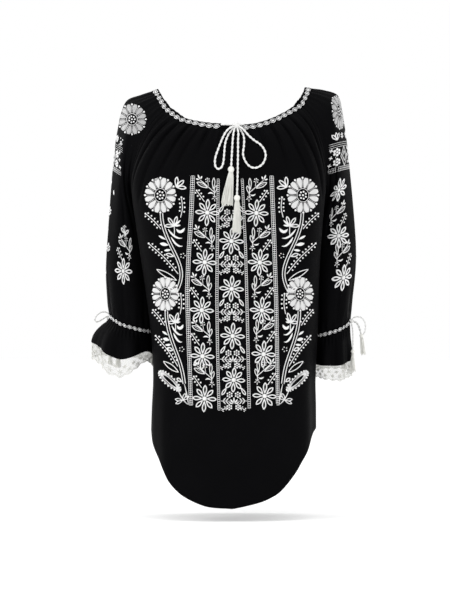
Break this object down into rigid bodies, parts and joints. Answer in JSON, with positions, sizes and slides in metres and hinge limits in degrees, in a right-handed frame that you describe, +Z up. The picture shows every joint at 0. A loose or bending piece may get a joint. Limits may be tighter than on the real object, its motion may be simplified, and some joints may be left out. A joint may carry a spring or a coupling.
{
  "type": "embroidered folk blouse",
  "caption": "Black raglan folk blouse with white embroidery, a drawstring bow with tassels at the gathered neck, and ruffled cuffs edged in lace.",
  "frame": {"origin": "in the neck opening, midway between its two tips on the shoulders and level with them", "axes": "+Z up out of the neck, the front faces -Y, +X to the side of the right sleeve as seen from the front"},
  "size_m": [0.5039, 0.2443, 0.7588],
  "materials": {
    "black_cloth": "soft satin weave",
    "lace": "matt net",
    "cord": "matt twisted cotton"
  },
  "bodies": {
    "root": {"front": "black_cloth", "back": "black_cloth", "sleeve_left": "black_cloth", "sleeve_right": "black_cloth", "neck_binding": "black_cloth", "cuff_band_left": "black_cloth", "cuff_band_right": "black_cloth", "cuff_ruffle_left": "black_cloth", "cuff_ruffle_right": "black_cloth", "lace_edging_left": "lace", "lace_edging_right": "lace", "bow_knot": "cord", "bow_loop_left": "cord", "bow_loop_right": "cord", "bow_end_left": "cord", "bow_end_right": "cord", "tassel_left": "cord", "tassel_right": "cord", "tie_knot_left": "cord", "tie_loop_left": "cord", "tie_end_a_left": "cord", "tie_end_b_left": "cord", "tie_tassel_a_left": "cord", "tie_tassel_b_left": "cord", "tie_knot_right": "cord", "tie_loop_right": "cord", "tie_end_a_right": "cord", "tie_end_b_right": "cord", "tie_tassel_a_right": "cord", "tie_tassel_b_right": "cord"}
  },
  "joints": []
}
